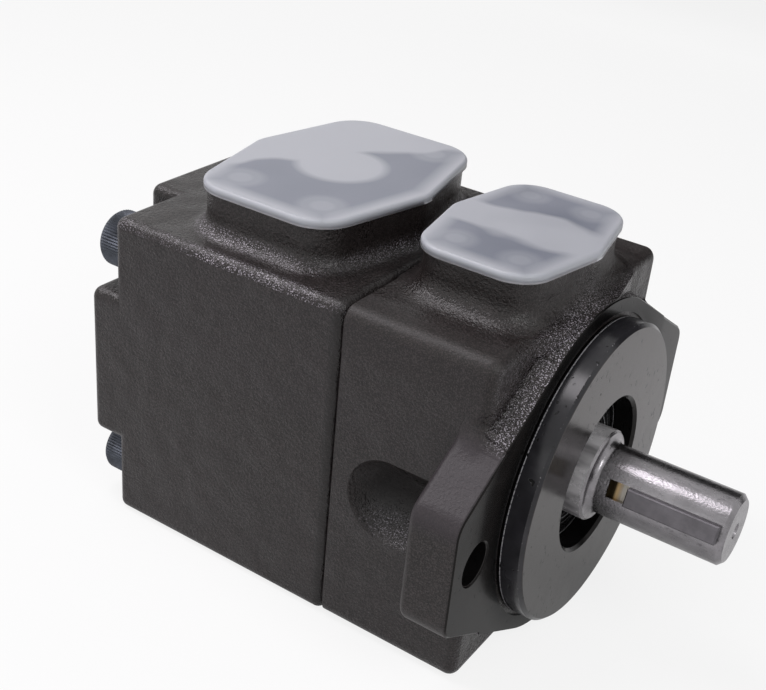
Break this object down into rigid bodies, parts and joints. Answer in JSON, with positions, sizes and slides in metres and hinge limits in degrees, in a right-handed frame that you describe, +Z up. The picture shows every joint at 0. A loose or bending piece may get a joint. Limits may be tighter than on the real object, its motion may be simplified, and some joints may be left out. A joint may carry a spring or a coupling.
{
  "type": "hydraulic vane pump",
  "caption": "Fixed-displacement vane pump: two cast-iron housings, two-bolt flange with pilot, keyed shaft, port covers on the suction and discharge pads",
  "frame": {"origin": "centre of the pilot, on the flange's mounting face", "axes": "+X along the shaft, out of the drive end; +Z up through the two ports; +Y completes the right-handed frame"},
  "size_m": [0.1746, 0.128, 0.1068],
  "materials": {
    "cast_body": "satin",
    "blued_screw": "satin",
    "cap_plastic": "satin",
    "ground_shaft": "polished",
    "key_steel": "satin",
    "hard_steel": "satin",
    "bearing_steel": "polished",
    "sintered_plate": "satin",
    "bronze": "satin",
    "spring_steel": "satin",
    "black_rubber": "matte"
  },
  "bodies": {
    "housing": {"front_housing": "cast_body", "rear_cover": "cast_body", "cover_screws": "blued_screw", "housing_o_ring": "black_rubber", "cam_ring": "hard_steel", "front_side_plate": "sintered_plate", "rear_side_plate": "sintered_plate", "rear_bush": "bronze", "plate_o_ring": "black_rubber", "hub_seal_ring": "black_rubber", "cartridge_screws": "spring_steel", "dowel_pins": "hard_steel", "preload_spring": "spring_steel", "bearing_outer_race": "bearing_steel", "bearing_retaining_ring": "spring_steel", "seal_case": "black_rubber", "seal_lip": "black_rubber", "seal_spring": "spring_steel"},
    "shaft_group": {"drive_shaft": "ground_shaft", "shaft_key": "key_steel", "rotor": "hard_steel", "bearing_inner_race": "bearing_steel", "shaft_snap_ring": "spring_steel"},
    "cage_group": {"bearing_cage": "hard_steel", "bearing_balls": "bearing_steel"},
    "suction_cap_body": {"suction_cap": "cap_plastic"},
    "discharge_cap_body": {"discharge_cap": "cap_plastic"},
    "vane_01_body": {"vane_01": "hard_steel"},
    "vane_02_body": {"vane_02": "hard_steel"},
    "vane_03_body": {"vane_03": "hard_steel"},
    "vane_04_body": {"vane_04": "hard_steel"},
    "vane_05_body": {"vane_05": "hard_steel"},
    "vane_06_body": {"vane_06": "hard_steel"},
    "vane_07_body": {"vane_07": "hard_steel"},
    "vane_08_body": {"vane_08": "hard_steel"},
    "vane_09_body": {"vane_09": "hard_steel"},
    "vane_10_body": {"vane_10": "hard_steel"},
    "vane_11_body": {"vane_11": "hard_steel"},
    "vane_12_body": {"vane_12": "hard_steel"}
  },
  "joints": [
    {"name": "shaft_spin", "type": "hinge", "parent": "housing", "child": "shaft_group", "pos_m": [0, 0, 0], "axis": [1, 0, 0], "continuous": true},
    {"name": "cage_spin", "type": "hinge", "parent": "housing", "child": "cage_group", "pos_m": [-0.0145, 0, 0], "axis": [1, 0, 0], "continuous": true},
    {"name": "suction_cap_lift", "type": "slide", "parent": "housing", "child": "suction_cap_body", "axis": [0, 0, 1], "range_m": [0, 0.02]},
    {"name": "discharge_cap_lift", "type": "slide", "parent": "housing", "child": "discharge_cap_body", "axis": [0, 0, 1], "range_m": [0, 0.02]},
    {"name": "vane_01_slide", "type": "slide", "parent": "shaft_group", "child": "vane_01_body", "axis": [0, 0.9659, 0.2588], "range_m": [0, 0.000728]},
    {"name": "vane_02_slide", "type": "slide", "parent": "shaft_group", "child": "vane_02_body", "axis": [0, 0.7071, 0.7071], "range_m": [0, 0.0022]},
    {"name": "vane_03_slide", "type": "slide", "parent": "shaft_group", "child": "vane_03_body", "axis": [0, 0.2588, 0.9659], "range_m": [0, 0.00367]},
    {"name": "vane_04_slide", "type": "slide", "parent": "shaft_group", "child": "vane_04_body", "axis": [0, -0.2588, 0.9659], "range_m": [0, 0.00367]},
    {"name": "vane_05_slide", "type": "slide", "parent": "shaft_group", "child": "vane_05_body", "axis": [0, -0.7071, 0.7071], "range_m": [0, 0.0022]},
    {"name": "vane_06_slide", "type": "slide", "parent": "shaft_group", "child": "vane_06_body", "axis": [0, -0.9659, 0.2588], "range_m": [0, 0.000728]},
    {"name": "vane_07_slide", "type": "slide", "parent": "shaft_group", "child": "vane_07_body", "axis": [0, -0.9659, -0.2588], "range_m": [0, 0.000728]},
    {"name": "vane_08_slide", "type": "slide", "parent": "shaft_group", "child": "vane_08_body", "axis": [0, -0.7071, -0.7071], "range_m": [0, 0.0022]},
    {"name": "vane_09_slide", "type": "slide", "parent": "shaft_group", "child": "vane_09_body", "axis": [0, -0.2588, -0.9659], "range_m": [0, 0.00367]},
    {"name": "vane_10_slide", "type": "slide", "parent": "shaft_group", "child": "vane_10_body", "axis": [0, 0.2588, -0.9659], "range_m": [0, 0.00367]},
    {"name": "vane_11_slide", "type": "slide", "parent": "shaft_group", "child": "vane_11_body", "axis": [0, 0.7071, -0.7071], "range_m": [0, 0.0022]},
    {"name": "vane_12_slide", "type": "slide", "parent": "shaft_group", "child": "vane_12_body", "axis": [0, 0.9659, -0.2588], "range_m": [0, 0.000728]}
  ],
  "couplings": [
    {"joint": "cage_spin", "follows": "shaft_spin", "ratio": 0.39691}
  ]
}
